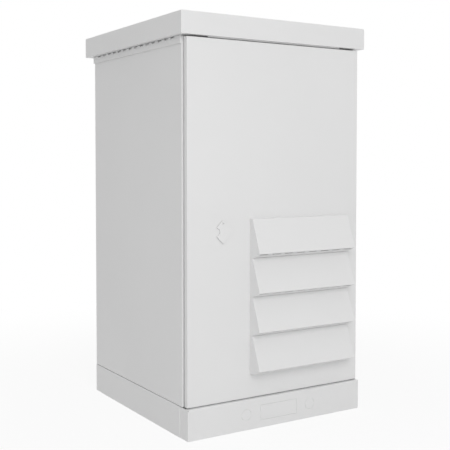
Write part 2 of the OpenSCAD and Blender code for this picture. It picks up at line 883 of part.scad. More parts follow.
module side_vents() {
  x = half_w + band_t + wide;
  for (i = [0 : side_vent_n - 1]) {
    y = mid_y + (i - (side_vent_n - 1) / 2) * vent_pitch;
    block([-x, y - vent_l / 2, band_z1 - vent_d], [x, y + vent_l / 2, band_z1 + wide]);
  }
}

module rear_vents() {
  for (i = [0 : rear_vent_n - 1]) {
    x = (i - (rear_vent_n - 1) / 2) * vent_pitch;
    block([x - vent_l / 2, mid_y, band_z1 - vent_d],
      [x + vent_l / 2, rear_y + band_t + wide, band_z1 + wide]);
  }
}

module ceiling_plate() {
  x = half_w - sheet_t - seam;
  color(zinc) difference() {
    block([-x, front_y + sheet_t + seam, ceiling_z], [x, rear_y - sheet_t - seam, ceiling_top]);
    translate([0, mid_y, ceiling_z - wide]) cylinder(r = fan_r, h = sheet_t + 2 * wide);
    roof_bolt_holes(ceiling_z, ceiling_top);
  }
}

module roof_bolt_holes(z0, z1) {
  for (sx = [-1, 1]) for (sy = [-1, 1])
    translate([sx * spacer_x, mid_y + sy * spacer_x, z0 - wide])
      cylinder(d = roof_bolt_d + 2 * hole_play, h = z1 - z0 + 2 * wide);
}

// Roof cap: welded pan with a soffit all round and a drip strip above the door
module roof_cap() {
  t = sheet_t;
  color(paint) difference() {
    union() {
      difference() {
        block([-roof_x, roof_y0, roof_z0], [roof_x, roof_y1, roof_z1]);
        block([-roof_x + t, roof_y0 + t, roof_z0 + t], [roof_x - t, roof_y1 - t, roof_z1 - t]);
        block([-soffit_x, front_y + soffit_lap, roof_z0 - wide],
          [soffit_x, rear_y - soffit_lap, roof_z0 + 2 * t]);
        for (s = [-1, 1]) fold_y(roof_y0 - wide, roof_y1 + wide, s * roof_x, roof_z1, -s, -1);
        fold_x(-roof_x - wide, roof_x + wide, roof_y0, roof_z1, 1, -1);
        fold_x(-roof_x - wide, roof_x + wide, roof_y1, roof_z1, -1, -1);
      }
      block([-roof_x + strip_end, roof_y0 + strip_back, door_z1 + strip_gap],
        [roof_x - strip_end, roof_y0 + strip_back + t, roof_z0 + t]);
      for (sx = [-1, 1]) for (sy = [-1, 1])
        translate([sx * spacer_x, mid_y + sy * spacer_x, roof_z1 - t - weld_nut_h])
          cylinder(d = spacer_d, h = weld_nut_h + t / 2);
    }
    for (sx = [-1, 1]) for (sy = [-1, 1])
      translate([sx * spacer_x, mid_y + sy * spacer_x, roof_z1 - t - weld_nut_h - wide])
        cylinder(d = roof_bolt_d + 2 * run_play, h = weld_nut_h + wide);
  }
}

// Spacer tubes between the ceiling plate and the weld nuts of the roof
module roof_spacers() {
  z1 = roof_z1 - sheet_t - weld_nut_h;
  color(zinc) difference() {
    for (sx = [-1, 1]) for (sy = [-1, 1])
      translate([sx * spacer_x, mid_y + sy * spacer_x, ceiling_top])
        cylinder(d = spacer_d, h = z1 - ceiling_top);
    roof_bolt_holes(ceiling_top, z1);
  }
}

module roof_bolts() {
  d = roof_bolt_d;
  color(zinc) for (sx = [-1, 1]) for (sy = [-1, 1])
    translate([sx * spacer_x, mid_y + sy * spacer_x, 0]) {
      hexagon(d, ceiling_z - hex_h * d);
      translate([0, 0, ceiling_z]) cylinder(d = d, h = roof_z1 - 2 * sheet_t - ceiling_z);
    }
}

// Square fan housing with a round duct, three arms, a motor plate and the shaft
module fan_housing() {
  w = fan_w / 2;
  color(plastic) translate([0, mid_y, 0]) {
    difference() {
      block([-w, -w, fan_z0], [w, w, fan_z0 + fan_h]);
      translate([0, 0, fan_z0 - wide]) cylinder(r = fan_r, h = fan_h + 2 * wide);
    }
    for (i = [0 : 2]) rotate([0, 0, 30 + 120 * i])
      block([0, -arm_w / 2, fan_z0], [fan_r + wide, arm_w / 2, fan_z0 + arm_t]);
    translate([0, 0, fan_z0]) cylinder(r = hub_r, h = arm_t);
    translate([0, 0, fan_z0]) cylinder(d = shaft_d, h = hub_z1 - 2 * hub_cap - fan_z0);
  }
}

// Ring of the fan guard with outer radius r and width w
module guard_ring(r, w) {
  translate([0, 0, ceiling_z - guard_t]) difference() {
    cylinder(r = r, h = guard_t);
    translate([0, 0, -wide]) cylinder(r = r - w, h = guard_t + 2 * wide);
  }
}

// Round wire guard under the ceiling plate
module fan_guard() {
  w = guard_wire / 2;
  color(zinc) translate([0, mid_y, 0]) {
    guard_ring(fan_r + guard_lap, guard_rim);
    for (k = [1, 2]) guard_ring(fan_r - k * guard_step, guard_wire);
    for (a = [0 : 60 : 120]) rotate([0, 0, a])
      block([-fan_r, -w, ceiling_z - guard_t], [fan_r, w, ceiling_z]);
  }
}

module fan_impeller() {
  l = (hub_z1 - hub_z0) * 2;
  color(plastic) translate([0, mid_y, 0]) difference() {
    union() {
      translate([0, 0, hub_z0]) cylinder(r = hub_r, h = hub_z1 - hub_z0);
      intersection() {
        translate([0, 0, hub_z0]) cylinder(r = blade_r, h = hub_z1 - hub_z0);
        for (i = [0 : blade_n - 1])
          rotate([0, 0, i * 360 / blade_n]) translate([0, 0, (hub_z0 + hub_z1) / 2])
            rotate([blade_tilt, 0, 0])
              block([hub_r / 2, -blade_t / 2, -l / 2], [blade_r + wide, blade_t / 2, l / 2]);
      }
    }
    translate([0, 0, hub_z0 - wide])
      cylinder(r = shaft_d / 2 + run_play, h = hub_z1 - hub_cap - hub_z0 + wide);
  }
}

// Angle with three square holes in every rack unit; s is the side, r is -1 in front and 1 at the rear
module rack_rail(s, r) {
  y0 = r < 0 ? front_y + rail_front : rear_y - rail_rear;
  xo = rack_x + rail_w;
  h = rack_hole / 2;
  color(zinc) difference() {
    block([s * rack_x, y0, rail_z0], [s * xo, y0 - r * rail_d, rail_z1]);
    block([s * (rack_x - wide), y0 - r * rail_t, rail_z0 - wide],
      [s * (xo - rail_t), y0 - r * (rail_d + wide), rail_z1 + wide]);
    for (u = [0 : rack_u - 1]) for (dz = unit_holes) {
      z = rail_z0 + rail_end + u * unit + dz;
      block([s * rack_hole_x - h, y0 + r * wide, z - h],
        [s * rack_hole_x + h, y0 - r * (rail_t + wide), z + h]);
    }
  }
}

module rack_rail_front_left() {
  rack_rail(-1, -1);
}

module rack_rail_front_right() {
  rack_rail(1, -1);
}

module rack_rail_rear_left() {
  rack_rail(-1, 1);
}

module rack_rail_rear_right() {
  rack_rail(1, 1);
}

// Channel that carries two rack rails on two posts
module rail_bracket(s, z) {
  x0 = rack_x + rail_w;
  y0 = front_y + sheet_t + post_d / 2;
  y1 = rear_y - sheet_t - post_d / 2;
  color(zinc) difference() {
    block([s * x0, y0, z], [s * opening_x, y1, z + bracket_h]);
    block([s * (x0 + rail_t), y0 - wide, z + rail_t],
      [s * (opening_x - rail_t), y1 + wide, z + bracket_h + wide]);
  }
}

module rail_bracket_lower_left() {
  rail_bracket(-1, rail_z0 + bracket_inset);
}

module rail_bracket_lower_right() {
  rail_bracket(1, rail_z0 + bracket_inset);
}

module rail_bracket_upper_left() {
  rail_bracket(-1, rail_z1 - bracket_inset - bracket_h);
}

module rail_bracket_upper_right() {
  rail_bracket(1, rail_z1 - bracket_inset - bracket_h);
}

// Earth bar bent from one strip, with feet on the floor plate
module earth_bar() {
  l = earth_l / 2;
  y0 = earth_y - earth_w / 2;
  y1 = earth_y + earth_w / 2;
  z1 = base_z + earth_rise + earth_t;
  pitch = (earth_l - 2 * earth_margin) / earth_n;
  color(copper) difference() {
    union() {
      block([-l, y0, z1 - earth_t], [l, y1, z1]);
      for (s = [-1, 1]) {
        block([s * l, y0, base_z], [s * (l - earth_t), y1, z1]);
        block([s * (l + earth_foot), y0, base_z], [s * (l - earth_t), y1, base_z + earth_t]);
      }
    }
    for (i = [0 : earth_n - 1])
      translate([(i - (earth_n - 1) / 2) * pitch, earth_y, z1 - earth_t - wide])
        cylinder(d = earth_hole_d, h = earth_t + 2 * wide);
  }
}

// Door pan with an inner lip, the air opening and the lock hole
module door_panel() {
  t = sheet_t;
  m = louvre_margin;
  color(paint) difference() {
    block([-door_x, door_y, door_z0], [door_x, door_back, door_z1]);
    block([-door_x + t, door_in, door_z0 + t], [door_x - t, door_back - t, door_z1 - t]);
    block([-door_x + door_lip, door_in, door_z0 + door_lip],
      [door_x - door_lip, door_back + wide, door_z1 - door_lip]);
    block([louvre_x0 + m, door_y - wide, louvre_z0 + m], [louvre_x1 - m, door_in + wide, louvre_z1 - m]);
    rod_y(lock_x, lock_z, door_y - wide, door_in + wide, barrel_d / 2 + barrel_play);
    for (s = [-1, 1]) fold_z(door_z0 - wide, door_z1 + wide, s * door_x, door_y, -s, 1);
    fold_x(-door_x - wide, door_x + wide, door_y, door_z1, 1, -1);
    fold_x(-door_x - wide, door_x + wide, door_y, door_z0, 1, 1);
  }
}

// Seal on the door that meets the rim of the door frame
module door_gasket() {
  g = gasket_w / 2;
  x = opening_x + sheet_t / 2;
  z0 = opening_z0 - sheet_t / 2;
  z1 = opening_z1 + sheet_t / 2;
  y1 = rim_y - gasket_gap;
  color(rubber) difference() {
    block([-x - g, door_in, z0 - g], [x + g, y1, z1 + g]);
    block([-x + g, door_in - wide, z0 + g], [x - g, y1 + wide, z1 - g]);
  }
}

// Channel on the back of the door sheet, above one half of the louvre
module door_stiffener(s) {
  t = sheet_t;
  x0 = stiffener_x + s * louvre_w / 4 - stiffener_w / 2;
  x1 = x0 + stiffener_w;
  z0 = stiffener_z0;
  z1 = stiffener_z1;
  color(zinc) difference() {
    block([x0, door_in, z0], [x1, door_in + stiffener_d, z1]);
    block([x0 + t, door_in - wide, z0 - wide], [x1 - t, door_in + stiffener_d - t, z1 + wide]);
  }
}

module door_stiffener_left() {
  door_stiffener(-1);
}

module door_stiffener_right() {
  door_stiffener(1);
}

// Corner b of an outline, moved in by t from the edges a-b and b-c
function inset(a, b, c, t) =
  let (u = (b - a) / norm(b - a), v = (c - b) / norm(c - b), m = [-u[1], u[0]], n = [-v[1], v[0]])
  b + t * (m + n) / (1 + m * n);

// Hood with a sloping front, two cheeks and air slots in its underside
module louvre_hood(i) {
  z1 = louvre_z1 - i * louvre_pitch;
  z0 = z1 - louvre_pitch + seam;
  shelf_y = door_y - hood_top_d;
  lip = [door_y - hood_lip_d, z0 + hood_lip_rise];
  outline = [[door_y, z1], [shelf_y, z1], lip, [shelf_y, z0], [door_y, z0]];
  q1 = inset(outline[0], outline[1], outline[2], hood_t);
  q2 = inset(outline[1], outline[2], outline[3], hood_t);
  q3 = inset(outline[2], outline[3], outline[4], hood_t);
  hollow = [[door_y + wide, z1 - hood_t], q1, q2, q3, [door_y + wide, z0 + hood_t]];
  pitch = louvre_w / hood_slots;
  color(paint) difference() {
    along_x(louvre_x0, louvre_x1) polygon(outline);
    along_x(louvre_x0 + hood_t, louvre_x1 - hood_t) polygon(hollow);
    for (k = [0 : hood_slots - 1]) {
      x = louvre_x0 + (k + 0.5) * pitch;
      w = (pitch - hood_slot_bridge) / 2;
      block([x - w, door_y - hood_slot_back - hood_slot_l, z0 - wide],
        [x + w, door_y - hood_slot_back, z0 + 2 * hood_lip_rise]);
    }
  }
}

module louvre_hood_1() {
  louvre_hood(0);
}

module louvre_hood_2() {
  louvre_hood(1);
}

module louvre_hood_3() {
  louvre_hood(2);
}

module louvre_hood_4() {
  louvre_hood(3);
}

// Frame that holds the filter mat against the door, with a grid at its back
module filter_frame() {
  w = filter_wall;
  b = grid_border;
  dx = (filter_x1 - filter_x0 - 2 * b + grid_bar) / grid_nx;
  dz = (filter_z1 - filter_z0 - 2 * b + grid_bar) / grid_nz;
  color(plastic) difference() {
    block([filter_x0, door_in, filter_z0], [filter_x1, grid_y + grid_t, filter_z1]);
    block([filter_x0 + w, door_in - wide, filter_z0 + w], [filter_x1 - w, grid_y, filter_z1 - w]);
    for (i = [0 : grid_nx - 1]) for (k = [0 : grid_nz - 1])
      translate([filter_x0 + b + i * dx, grid_y - wide, filter_z0 + b + k * dz])
        cube([dx - grid_bar, grid_t + 2 * wide, dz - grid_bar]);
  }
}

module filter_mat() {
  w = filter_wall + seam;
  color(mat) block([filter_x0 + w, door_in, filter_z0 + w], [filter_x1 - w, grid_y, filter_z1 - w]);
}

module filter_knobs() {
  c = grid_border / 2;
  y = grid_y + grid_t;
  color(plastic) for (x = [filter_x0 + c, filter_x1 - c]) for (z = [filter_z0 + c, filter_z1 - c]) {
    rod_y(x, z, y, y + knob_neck, knob_r / 2);
    rod_y(x, z, y + knob_neck, y + knob_h, knob_r);
  }
}

// Square on its corner with round corners
module diamond(w, r) {
  rotate(45) {
    square([w, w - 2 * r], center = true);
    square([w - 2 * r, w], center = true);
    for (sx = [-1, 1]) for (sy = [-1, 1]) translate([sx * (w / 2 - r), sy * (w / 2 - r)]) circle(r);
  }
}

// Round notch that takes away the left corner of a diamond
module finger_notch(y0, y1) {
  x = lock_x - notch_x;
  rod_y(x, lock_z, y0, y1, notch_r);
  block([x - cover_w, y0, lock_z - notch_r], [x, y1, lock_z + notch_r]);
}

// Base plate of the lock with the hollow rivet that carries the cover
module lock_base() {
  z = lock_z + pivot_rise;
  head_y = cover_front - rivet_gap;
  color(paint) difference() {
    union() {
      along_y(base_y, door_y) translate([lock_x, lock_z]) diamond(cover_w - 2 * base_lap, cover_r);
      rod_y(lock_x, z, head_y, door_y - base_t / 2, pivot_d / 2);
      rod_y(lock_x, z, head_y - rivet_head_t, head_y, pivot_d / 2 + rivet_lap);
    }
    rod_y(lock_x, lock_z, base_y - wide, door_y + wide, barrel_d / 2 + barrel_play);
    finger_notch(base_y - wide, door_y + wide);
    rod_y(lock_x, z, head_y - rivet_head_t - wide, base_y, rivet_bore);
  }
}

module lock_cover() {
  color(paint) difference() {
    along_y(cover_front, cover_back) translate([lock_x, lock_z]) diamond(cover_w, cover_r);
    finger_notch(cover_front - wide, cover_back + wide);
    rod_y(lock_x, lock_z + pivot_rise, cover_front - wide, cover_back + wide, pivot_d / 2 + run_play);
  }
}

// Case over the rod drive, open towards the door
module lock_case() {
  t = sheet_t;
  color(zinc) difference() {
    block([lock_x - case_x, door_in, lock_z - case_z], [lock_x + case_x, case_back, lock_z + case_z]);
    block([lock_x - case_x + t, door_in - wide, lock_z - case_z + t],
      [lock_x + case_x - t, case_back - t, lock_z + case_z - t]);
    rod_y(lock_x, lock_z, case_back - t - wide, case_back + wide, journal_r + barrel_play);
    rod_slot(-1, lock_z + case_z - 2 * t, lock_z + case_z + wide);
    rod_slot(1, lock_z - case_z - wide, lock_z - case_z + 2 * t);
  }
}

// Passage of a rod, on the left or on the right of the pinion
module rod_slot(s, z0, z1) {
  x = lock_x + s * rod_mid;
  w = rod_w / 2 + rod_play;
  block([x - w, rod_y0 - rod_play, z0], [x + w, rod_y1 + rod_play, z1]);
}

function tooth_t(r) = sqrt(max(0, pow(r / gear_base, 2) - 1));
function involute(r) = tooth_t(r) * 180 / PI - atan(tooth_t(r));
function half_tooth(r) = 90 / gear_n - gear_play * 45 / PI / gear_r + involute(gear_r) - involute(r);
tooth_radii = [for (i = [0 : flank_n]) gear_base + i * (gear_top - gear_base) / flank_n];
tooth_up = [for (r = tooth_radii) r * [cos(half_tooth(r)), sin(half_tooth(r))]];
tooth_down = [for (i = [flank_n : -1 : 0]) [tooth_up[i][0], -tooth_up[i][1]]];
tooth_foot = (gear_root - root_sink) * [cos(half_tooth(0)), sin(half_tooth(0))];

// Pinion outline with one tooth pointing to the left
module pinion_outline() {
  circle(gear_root);
  for (i = [0 : gear_n - 1]) rotate(180 + i * 360 / gear_n)
    polygon(concat([tooth_foot], tooth_up, tooth_down, [[tooth_foot[0], -tooth_foot[1]]]));
}

// Lock barrel with a triangular key recess, the pinion and a rear journal
module lock_barrel() {
  color(zinc) difference() {
    union() {
      rod_y(lock_x, lock_z, base_y, rod_y0, barrel_d / 2);
      rod_y(lock_x, lock_z, base_y, rod_y1 + collar_l, collar_r);
      rod_y(lock_x, lock_z, base_y, case_back, journal_r);
      along_y(rod_y0, rod_y1) translate([lock_x, lock_z]) pinion_outline();
    }
    translate([lock_x, base_y + key_depth, lock_z]) rotate([90, 0, 0])
      cylinder(r = key_r, h = key_depth + wide, $fn = 3);
  }
}

// Rack on the inner edge of a rod; teeth lie at whole or half pitches from the lock
module rack_teeth(s, k0, k1, shift) {
  h = gear_add;
  g = gear_ded + root_sink;
  w = gear_p / 4 - gear_play / 4;
  for (k = [k0 : k1])
    translate([lock_x + s * gear_r, lock_z + (k + shift) * gear_p]) rotate(s < 0 ? 180 : 0)
      polygon([
        [g, w + g * tan(gear_angle)], [-h, w - h * tan(gear_angle)],
        [-h, -w + h * tan(gear_angle)], [g, -w - g * tan(gear_angle)]
      ]);
}

module rod_bar(s, z0, z1) {
  translate([lock_x + s * rod_mid - rod_w / 2, z0]) square([rod_w, z1 - z0]);
}

module upper_rod() {
  color(zinc) along_y(rod_y0, rod_y1) {
    rod_bar(-1, lock_z - rod_tail, rod_top);
    rack_teeth(-1, -5, 1, 0.5);
  }
}

module lower_rod() {
  color(zinc) along_y(rod_y0, rod_y1) {
    rod_bar(1, rod_bottom, lock_z + rod_tail);
    rack_teeth(1, -1, 4, 0);
  }
}

// Blocks that guide the rods on the door
module rod_guides() {
  h = guide_h / 2;
  w = rod_w / 2 + guide_wall;
  up = [rod_top - guide_inset, lock_z + case_z + guide_gap];
  down = [rod_bottom + guide_inset, lock_z - case_z - guide_gap];
  color(plastic) difference() {
    for (s = [-1, 1]) for (z = s < 0 ? up : down) {
      x = lock_x + s * rod_mid;
      block([x - w, door_in, z - h], [x + w, case_back, z + h]);
    }
    rod_slot(-1, lock_z + case_z, rod_top);
    rod_slot(1, rod_bottom, lock_z - case_z);
  }
}

// Lower hinge halves on the body, with their pins
module hinge_frame_leaves() {
  color(zinc) for (z = hinge_z) {
    block([half_w - leaf_w, front_y - leaf_t, z - hinge_h / 2], [hinge_x, front_y, z]);
    translate([hinge_x, hinge_y, z - hinge_h / 2]) cylinder(r = knuckle_r, h = hinge_h / 2);
    translate([hinge_x, hinge_y, z - hinge_h / 2]) cylinder(d = pin_d, h = hinge_h - pin_end);
  }
}

// Upper hinge halves on the door
module hinge_door_leaves() {
  color(zinc) for (z = hinge_z) difference() {
    union() {
      block([door_x - door_lip, door_back, z + knuckle_gap],
        [hinge_x, door_back + leaf_t, z + hinge_h / 2]);
      translate([hinge_x, hinge_y, z + knuckle_gap])
        cylinder(r = knuckle_r, h = hinge_h / 2 - knuckle_gap);
    }
    translate([hinge_x, hinge_y, z - wide])
      cylinder(r = pin_d / 2 + run_play, h = (hinge_h - pin_end) / 2 + wide);
  }
}

plinth_front_cover();
plinth_rear_cover();
plinth_left_cover();
plinth_right_cover();
plinth_corner_front_left();
plinth_corner_front_right();
plinth_corner_rear_left();
plinth_corner_rear_right();
plinth_cover_clips();
plinth_bolts();
floor_plate();
gland_plate();
cable_glands();
corner_post_front_left();
corner_post_front_right();
corner_post_rear_left();
corner_post_rear_right();
left_side_panel();
right_side_panel();
rear_panel();
rear_panel_screws();
front_frame();
top_band();
ceiling_plate();
roof_cap();
roof_spacers();
roof_bolts();
fan_housing();
fan_guard();
fan_impeller();
rack_rail_front_left();
rack_rail_front_right();
rack_rail_rear_left();
rack_rail_rear_right();
rail_bracket_lower_left();
rail_bracket_lower_right();
rail_bracket_upper_left();
rail_bracket_upper_right();
earth_bar();
door_panel();
door_gasket();
door_stiffener_left();
door_stiffener_right();
louvre_hood_1();
louvre_hood_2();
louvre_hood_3();
louvre_hood_4();
filter_frame();
filter_mat();
filter_knobs();
lock_base();
lock_cover();
lock_case();
lock_barrel();
upper_rod();
lower_rod();
rod_guides();
hinge_frame_leaves();
hinge_door_leaves();
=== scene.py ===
import json
import math

import bpy
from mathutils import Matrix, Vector
from mathutils import noise as lumps


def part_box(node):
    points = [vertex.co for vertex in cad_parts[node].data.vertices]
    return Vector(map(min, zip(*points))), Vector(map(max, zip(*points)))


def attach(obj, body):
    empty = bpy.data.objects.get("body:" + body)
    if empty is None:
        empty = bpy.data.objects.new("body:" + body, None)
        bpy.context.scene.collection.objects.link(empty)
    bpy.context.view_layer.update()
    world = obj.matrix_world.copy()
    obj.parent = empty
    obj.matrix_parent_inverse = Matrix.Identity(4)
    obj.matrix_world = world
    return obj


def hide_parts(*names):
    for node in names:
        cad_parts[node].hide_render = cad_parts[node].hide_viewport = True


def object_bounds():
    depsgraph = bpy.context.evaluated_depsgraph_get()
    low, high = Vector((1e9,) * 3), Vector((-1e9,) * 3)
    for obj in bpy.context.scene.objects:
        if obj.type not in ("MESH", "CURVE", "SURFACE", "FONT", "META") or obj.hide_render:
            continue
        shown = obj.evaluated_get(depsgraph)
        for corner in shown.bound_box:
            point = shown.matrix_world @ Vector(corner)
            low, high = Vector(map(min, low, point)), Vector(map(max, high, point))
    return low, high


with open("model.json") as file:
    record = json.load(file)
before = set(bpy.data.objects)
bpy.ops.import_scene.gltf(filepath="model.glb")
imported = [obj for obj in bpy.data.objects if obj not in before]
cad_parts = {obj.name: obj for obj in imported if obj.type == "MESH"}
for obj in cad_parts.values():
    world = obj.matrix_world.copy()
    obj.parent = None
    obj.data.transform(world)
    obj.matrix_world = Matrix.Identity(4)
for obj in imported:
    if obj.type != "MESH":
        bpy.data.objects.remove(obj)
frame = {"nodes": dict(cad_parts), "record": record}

CAD_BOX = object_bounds()
NODES = frame["nodes"]

# Camera, from the perspective of the photograph
IMAGE_PX = 450
FOCAL_PX = 841.3
AXIS_PX_Y = 192
SENSOR = 36.0
CAMERA_PLACE = (-1.6369, -2.6362, 0.8862)
CAMERA_YAW = 32.02
CAMERA_PITCH = 2.166

# Edge rounding of the CAD nodes
WELD_GAP = 0.00015
PLANE_ANGLE = 0.6
BEVEL = 0.0004
BEVEL_STEPS = 2
BEVEL_ANGLE = 35
SHARP_NODES = ("fan_guard", "fan_housing")  # their edges are too short for a bevel

# Door seal: bead with a groove where the rim of the frame meets it
SEAL_W = 0.014
SEAL_CORNER = 0.008
SEAL_ARC = 6
SEAL_STEPS = 24
SEAL_ROUND = 2.6
SEAL_GROOVE = 0.0012
SEAL_GROOVE_W = 0.0016

# Filter mat and the windows of the grid that it swells into
MAT_CELL = 0.005
MAT_SWELL = 0.0014
MAT_SLOPE = 0.012
MAT_LUMP = 0.0005
MAT_LUMP_SCALE = 70.0
GRID_BORDER = 0.026
GRID_BAR = 0.010
GRID_NX = 4
GRID_NZ = 5

# Finishes, as linear colours
PAINT = (0.82, 0.82, 0.82)
ZINC = (0.50, 0.51, 0.52)
RUBBER = (0.022, 0.022, 0.024)
PLASTIC = (0.040, 0.041, 0.044)
COPPER = (0.62, 0.30, 0.17)
MAT = (0.72, 0.70, 0.63)

# Light
WORLD_LOW = 0.29
WORLD_TOP = 0.80
KEY_POWER = 76
KEY_SIZE = 2.4
KEY_PLACE = (-1.5, -4.4, 2.6)
KEY_AIM = (0.0, 0.0, 0.7)
FLOOR_SIZE = 14.0
FLOOR_TONE = 0.88
FLOOR_GLOW = 0.88
FLOOR_NEAR = 0.6
FLOOR_FAR = 2.2
FLOOR_ROUGH = 0.9
SEEN_RAYS = ("Is Camera Ray", "Is Glossy Ray", "Is Transmission Ray")


def link(tree, source, output, target, socket):
    """Joins an output of one node to an input of another."""
    tree.links.new(source.outputs[output], target.inputs[socket])


def add(tree, kind, inputs=None, **settings):
    """New node with input values by socket name and settings by attribute."""
    node = tree.nodes.new(kind)
    for key, value in settings.items():
        setattr(node, key, value)
    for key, value in (inputs or {}).items():
        node.inputs[key].default_value = value
    return node


def noise(tree, place, scale, detail=2.0, rough=0.5):
    """Noise in the object's own coordinates."""
    node = add(tree, "ShaderNodeTexNoise", {"Scale": scale, "Detail": detail, "Roughness": rough})
    link(tree, place, "Object", node, "Vector")
    return node


def span(tree, source, output, low, high):
    """Maps a node's output from 0..1 to low..high."""
    node = add(tree, "ShaderNodeMapRange", {"To Min": low, "To Max": high})
    link(tree, source, output, node, "Value")
    return node


def tinted(tree, colour, factor):
    """Colour times a grey factor."""
    node = add(tree, "ShaderNodeVectorMath", operation="SCALE")
    node.inputs[0].default_value = colour
    link(tree, factor, "Result", node, "Scale")
    return node


def bump(tree, shader, source, output, strength, distance):
    """Raises a shader's surface by a node's output."""
    node = add(tree, "ShaderNodeBump", {"Strength": strength, "Distance": distance})
    link(tree, source, output, node, "Height")
    link(tree, node, "Normal", shader, "Normal")


def seen_by(tree, *rays):
    """1 for the kinds of rays that are named, 0 for the others."""
    path = add(tree, "ShaderNodeLightPath")
    seen, output = path, rays[0]
    for ray in rays[1:]:
        either = add(tree, "ShaderNodeMath", operation="MAXIMUM")
        link(tree, seen, output, either, 0)
        link(tree, path, ray, either, 1)
        seen, output = either, "Value"
    return seen


def base_material(name):
    """Material with its node tree, its shader and the object's coordinates."""
    mat = bpy.data.materials.new(name)
    mat.use_nodes = True
    tree = mat.node_tree
    shader = tree.nodes["Principled BSDF"]
    place = add(tree, "ShaderNodeTexCoord")
    return mat, tree, shader, place


def paint_material():
    """Satin powder coat: slow tone drift, fine grain and orange peel."""
    mat, tree, shader, place = base_material("paint")
    drift = noise(tree, place, scale=2.2, detail=3.0)
    tone = span(tree, drift, "Fac", low=0.965, high=1.035)
    colour = tinted(tree, PAINT, tone)
    link(tree, colour, "Vector", shader, "Base Color")
    patches = noise(tree, place, scale=9.0, detail=4.0)
    gloss = span(tree, patches, "Fac", low=0.36, high=0.50)
    link(tree, gloss, "Result", shader, "Roughness")
    peel = noise(tree, place, scale=520.0, rough=0.45)
    bump(tree, shader, peel, "Fac", strength=0.10, distance=0.0003)
    return mat


def zinc_material():
    """Galvanised sheet: spangle cells that differ in tone and gloss."""
    mat, tree, shader, place = base_material("zinc")
    cells = add(tree, "ShaderNodeTexVoronoi", {"Scale": 95.0, "Randomness": 1.0})
    link(tree, place, "Object", cells, "Vector")
    grey = add(tree, "ShaderNodeSeparateColor")
    link(tree, cells, "Color", grey, "Color")
    tone = span(tree, grey, "Red", low=0.84, high=1.10)
    colour = tinted(tree, ZINC, tone)
    link(tree, colour, "Vector", shader, "Base Color")
    gloss = span(tree, grey, "Green", low=0.30, high=0.48)
    link(tree, gloss, "Result", shader, "Roughness")
    shader.inputs["Metallic"].default_value = 1.0
    grain = noise(tree, place, scale=260.0, detail=3.0)
    bump(tree, shader, grain, "Fac", strength=0.06, distance=0.0003)
    return mat


def rubber_material():
    """Cellular rubber with a fine skin."""
    mat, tree, shader, place = base_material("rubber")
    grain = noise(tree, place, scale=700.0, detail=3.0, rough=0.6)
    tone = span(tree, grain, "Fac", low=0.7, high=1.4)
    colour = tinted(tree, RUBBER, tone)
    link(tree, colour, "Vector", shader, "Base Color")
    gloss = span(tree, grain, "Fac", low=0.62, high=0.85)
    link(tree, gloss, "Result", shader, "Roughness")
    bump(tree, shader, grain, "Fac", strength=0.25, distance=0.0004)
    return mat


def plastic_material():
    """Moulded plastic with a spark-eroded grain."""
    mat, tree, shader, place = base_material("plastic")
    grain = noise(tree, place, scale=900.0, rough=0.6)
    patches = noise(tree, place, scale=30.0, detail=4.0)
    tone = span(tree, patches, "Fac", low=0.85, high=1.2)
    colour = tinted(tree, PLASTIC, tone)
    link(tree, colour, "Vector", shader, "Base Color")
    gloss = span(tree, grain, "Fac", low=0.42, high=0.62)
    link(tree, gloss, "Result", shader, "Roughness")
    bump(tree, shader, grain, "Fac", strength=0.22, distance=0.0003)
    return mat


def copper_material():
    """Drawn copper bar with lengthwise streaks and a light tarnish."""
    mat, tree, shader, place = base_material("copper")
    stretch = add(tree, "ShaderNodeMapping", {"Scale": (4.0, 300.0, 300.0)})
    link(tree, place, "Object", stretch, "Vector")
    streaks = add(tree, "ShaderNodeTexNoise", {"Scale": 2.0, "Detail": 4.0})
    link(tree, stretch, "Vector", streaks, "Vector")
    tone = span(tree, streaks, "Fac", low=0.8, high=1.15)
    colour = tinted(tree, COPPER, tone)
    link(tree, colour, "Vector", shader, "Base Color")
    gloss = span(tree, streaks, "Fac", low=0.22, high=0.42)
    link(tree, gloss, "Result", shader, "Roughness")
    shader.inputs["Metallic"].default_value = 1.0
    bump(tree, shader, streaks, "Fac", strength=0.08, distance=0.0002)
    return mat


def mat_material():
    """Bonded fibre mat."""
    mat, tree, shader, place = base_material("filter")
    fibre = noise(tree, place, scale=420.0, detail=6.0, rough=0.75)
    fibre.inputs["Distortion"].default_value = 2.5
    tone = span(tree, fibre, "Fac", low=0.55, high=1.25)
    colour = tinted(tree, MAT, tone)
    link(tree, colour, "Vector", shader, "Base Color")
    shader.inputs["Roughness"].default_value = 0.95
    shader.inputs["Sheen Weight"].default_value = 0.3
    bump(tree, shader, fibre, "Fac", strength=0.6, distance=0.002)
    return mat


def dress(node, material):
    """Gives a CAD node its material and fine edge rounding."""
    node.data.materials.clear()
    node.data.materials.append(material)
    weld = node.modifiers.new("weld", "WELD")
    weld.merge_threshold = WELD_GAP
    flat = node.modifiers.new("flat", "DECIMATE")
    flat.decimate_type = "DISSOLVE"
    flat.angle_limit = math.radians(PLANE_ANGLE)
    if node.name not in SHARP_NODES:
        edge = node.modifiers.new("edge", "BEVEL")
        edge.width = BEVEL
        edge.segments = BEVEL_STEPS
        edge.limit_method = "ANGLE"
        edge.angle_limit = math.radians(BEVEL_ANGLE)
        edge.harden_normals = False
    smooth = node.modifiers.new("smooth", "WEIGHTED_NORMAL")
    smooth.keep_sharp = True


def new_piece(name, points, faces, body, slot, material, *nodes):
    """Smooth mesh piece that rides on a body and stands for CAD nodes."""
    mesh = bpy.data.meshes.new(name)
    mesh.from_pydata(points, [], faces)
    mesh.validate()
    mesh.shade_smooth()
    piece = bpy.data.objects.new(name, mesh)
    bpy.context.scene.collection.objects.link(piece)
    piece.data.materials.append(material)
    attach(piece, body)
    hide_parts(*nodes)
    return piece


